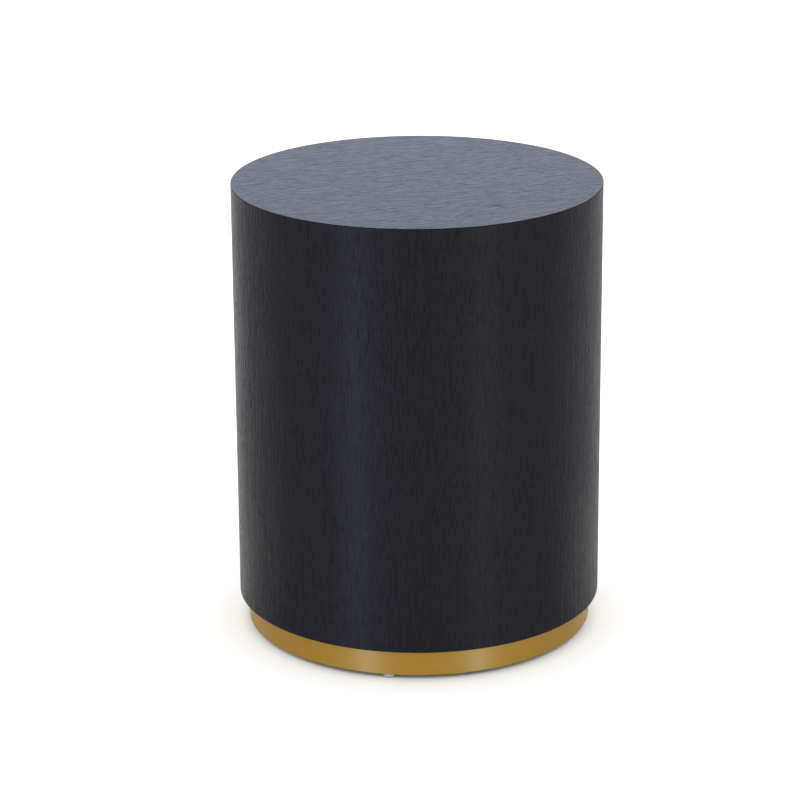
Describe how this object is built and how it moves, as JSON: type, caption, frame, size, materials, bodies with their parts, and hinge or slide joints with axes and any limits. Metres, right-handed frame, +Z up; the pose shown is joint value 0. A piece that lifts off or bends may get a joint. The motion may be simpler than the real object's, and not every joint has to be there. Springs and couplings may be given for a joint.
{
  "type": "drum side table",
  "caption": "Round closed drum side table in black oak veneer over a bent plywood carcass, on a set-back plinth with a brass-finish band and nail-on glides.",
  "frame": {"origin": "on the floor under the glides, at the drum's axis", "axes": "+Z up along the drum's axis, -Y to the viewer, +X to the viewer's right, veneer and band seams at the back on +Y"},
  "size_m": [0.4, 0.4, 0.5],
  "materials": {
    "black_oak_veneer": "satin lacquer over black-stained open-pore oak",
    "bending_plywood": "raw",
    "fibreboard": "raw",
    "birch_plywood": "raw",
    "pine": "planed",
    "beech": "fluted",
    "zinc_plated_steel": "zinc plated",
    "brass_finish": "satin",
    "clear_plastic": "translucent"
  },
  "bodies": {
    "root": {"top_veneer": "black_oak_veneer", "side_veneer": "black_oak_veneer", "outer_ply_wrap": "bending_plywood", "inner_ply_wrap": "bending_plywood", "top_panel": "fibreboard", "bottom_panel": "fibreboard", "ring_former_1": "birch_plywood", "ring_former_2": "birch_plywood", "batten_1": "pine", "batten_2": "pine", "batten_3": "pine", "batten_4": "pine", "batten_5": "pine", "batten_6": "pine", "batten_7": "pine", "batten_8": "pine", "batten_dowels": "beech", "former_screws": "zinc_plated_steel", "plinth_ring": "fibreboard", "plinth_band": "brass_finish", "plinth_screws": "zinc_plated_steel", "glide_1": "clear_plastic", "glide_2": "clear_plastic", "glide_3": "clear_plastic", "glide_4": "clear_plastic", "glide_nails": "zinc_plated_steel"}
  },
  "joints": []
}
